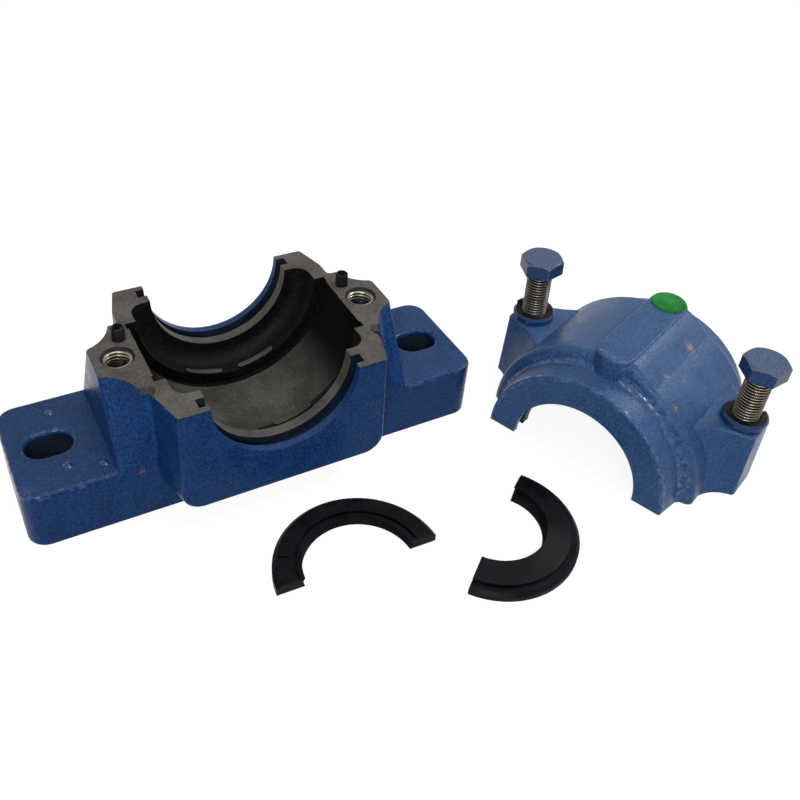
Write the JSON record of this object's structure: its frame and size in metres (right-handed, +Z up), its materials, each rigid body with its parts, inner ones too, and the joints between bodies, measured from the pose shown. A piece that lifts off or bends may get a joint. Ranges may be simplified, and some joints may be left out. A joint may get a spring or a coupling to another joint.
{
  "type": "split plummer block",
  "caption": "Split plummer block taken apart: base with slotted feet, cap with bolts and washers, grease plug, spring pins and half seals.",
  "frame": {"origin": "centre of the base's underside, where the block stands", "axes": "+X along the feet, +Y along the shaft axis towards the pins' side, +Z up out of the underside"},
  "size_m": [0.4357, 0.2385, 0.0912],
  "materials": {
    "blue_paint": "glossy blue machinery paint over rough cast iron, bare machined faces inside and at the split",
    "bolt_steel": "oiled steel thread, hexagon head painted blue",
    "painted_washer": "spring steel, painted blue outside",
    "spring_steel": "blackened spring steel",
    "green_plastic": "bright green cap, slightly glossy",
    "seal_rubber": "black rubber, satin"
  },
  "bodies": {
    "housing": {"base_housing": "blue_paint", "cap_housing": "blue_paint", "spring_washer_left": "painted_washer", "spring_washer_right": "painted_washer", "dowel_pin_left": "spring_steel", "dowel_pin_right": "spring_steel", "grease_plug": "green_plastic", "half_seal_flat_side_up": "seal_rubber", "half_seal_lip_side_up": "seal_rubber"},
    "bolt_left": {"cap_bolt_left": "bolt_steel"},
    "bolt_right": {"cap_bolt_right": "bolt_steel"}
  },
  "joints": [
    {"name": "bolt_left_lift", "type": "slide", "parent": "housing", "child": "bolt_left", "axis": [-0.0299, 0.0181, 0.9994], "range_m": [0, 0.045]},
    {"name": "bolt_right_lift", "type": "slide", "parent": "housing", "child": "bolt_right", "axis": [0, 0, 1], "range_m": [0, 0.045]}
  ]
}
